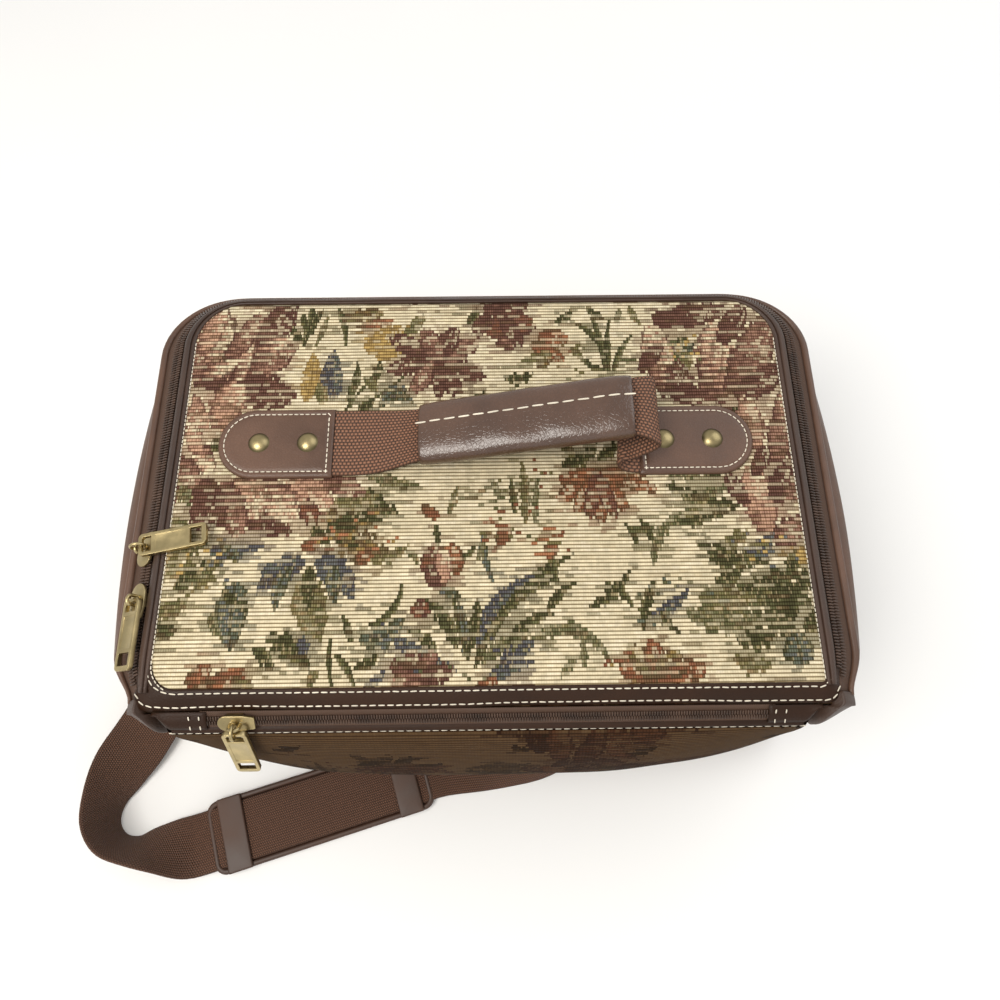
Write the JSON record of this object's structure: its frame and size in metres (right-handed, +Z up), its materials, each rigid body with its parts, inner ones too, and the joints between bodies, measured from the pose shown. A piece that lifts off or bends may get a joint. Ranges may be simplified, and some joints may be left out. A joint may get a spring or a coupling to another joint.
{
  "type": "carpet bag",
  "caption": "Structured floral tapestry overnight case with a zipped lid, a riveted carry handle, a zipped front pocket and a webbing shoulder strap with a pad.",
  "frame": {"origin": "on the floor under the middle of the case, without the shoulder strap", "axes": "+Z up, the lid faces +Z and opens at -Y, the zipped pocket is on the front at -Y, +X to the right"},
  "size_m": [0.4687, 0.3323, 0.2111],
  "materials": {
    "tapestry": "woven floral tapestry with raised ribs",
    "pocket_tapestry": "woven floral tapestry with raised ribs",
    "vinyl": "brown grained vinyl, semi matt",
    "grip": "brown grained vinyl, semi matt",
    "webbing": "ribbed brown webbing",
    "pad": "moulded, matt brown",
    "zip_tape": "herringbone tape",
    "zip_coil": "dark brown nylon coil",
    "brass": "pale antique brass, softly polished",
    "lining": "plain woven lining",
    "board": "stiff board"
  },
  "bodies": {
    "case": {"base_panel": "vinyl", "base_board": "board", "lining": "lining", "left_wall": "tapestry", "right_wall": "tapestry", "back_wall": "tapestry", "front_wall": "tapestry", "case_band": "vinyl", "case_piping": "vinyl", "case_zip_tape": "zip_tape", "case_zip_coil": "zip_coil", "zip_end_left": "vinyl", "zip_end_right": "vinyl", "pocket_panel": "pocket_tapestry", "pocket_binding": "vinyl", "pocket_zip_tape": "zip_tape", "pocket_zip_coil": "zip_coil", "pocket_end_tab_left": "vinyl", "pocket_end_tab_right": "vinyl", "strap_tab_left": "vinyl", "strap_tab_right": "vinyl", "strap_rivets": "brass", "strap_webbing": "webbing", "strap_pad": "pad"},
    "lid": {"lid_panel": "tapestry", "lid_lining": "lining", "lid_piping": "vinyl", "lid_trim": "vinyl", "lid_skirt": "vinyl", "lid_zip_tape": "zip_tape", "lid_zip_coil": "zip_coil", "handle_tab_left": "vinyl", "handle_tab_right": "vinyl", "handle_rivets": "brass", "handle_webbing": "webbing", "handle_grip": "grip"},
    "rear_zip_slider": {"rear_slider": "brass"},
    "rear_zip_pull": {"rear_link": "brass", "rear_pull": "brass"},
    "front_zip_slider": {"front_slider": "brass"},
    "front_zip_pull": {"front_pull": "brass"},
    "pocket_zip_slider": {"pocket_slider": "brass"},
    "pocket_zip_pull": {"pocket_link": "brass", "pocket_pull": "brass"}
  },
  "joints": [
    {"name": "lid_hinge", "type": "hinge", "parent": "case", "child": "lid", "pos_m": [0, -0.10816, 0.168], "axis": [1, 0, 0], "range_deg": [0, 95]},
    {"name": "rear_slide", "type": "slide", "parent": "lid", "child": "rear_zip_slider", "axis": [0, 1, 0], "range_m": [0, 0.1]},
    {"name": "rear_pull_swing", "type": "hinge", "parent": "rear_zip_slider", "child": "rear_zip_pull", "pos_m": [-0.17974, -0.02717, 0.17579], "axis": [0.1456, -0.9848, 0.0946], "range_deg": [0, 140]},
    {"name": "front_slide", "type": "slide", "parent": "lid", "child": "front_zip_slider", "axis": [0, 1, 0], "range_m": [-0.025, 0]},
    {"name": "front_pull_swing", "type": "hinge", "parent": "front_zip_slider", "child": "front_zip_pull", "pos_m": [-0.17778, -0.05416, 0.17278], "axis": [-0.8384, 0, -0.545], "range_deg": [0, 150]},
    {"name": "pocket_slide", "type": "slide", "parent": "case", "child": "pocket_zip_slider", "axis": [1, 0, 0], "range_m": [0, 0.24]},
    {"name": "pocket_pull_swing", "type": "hinge", "parent": "pocket_zip_slider", "child": "pocket_zip_pull", "pos_m": [-0.122, -0.11789, 0.17105], "axis": [-1, 0, 0], "range_deg": [0, 80]}
  ]
}
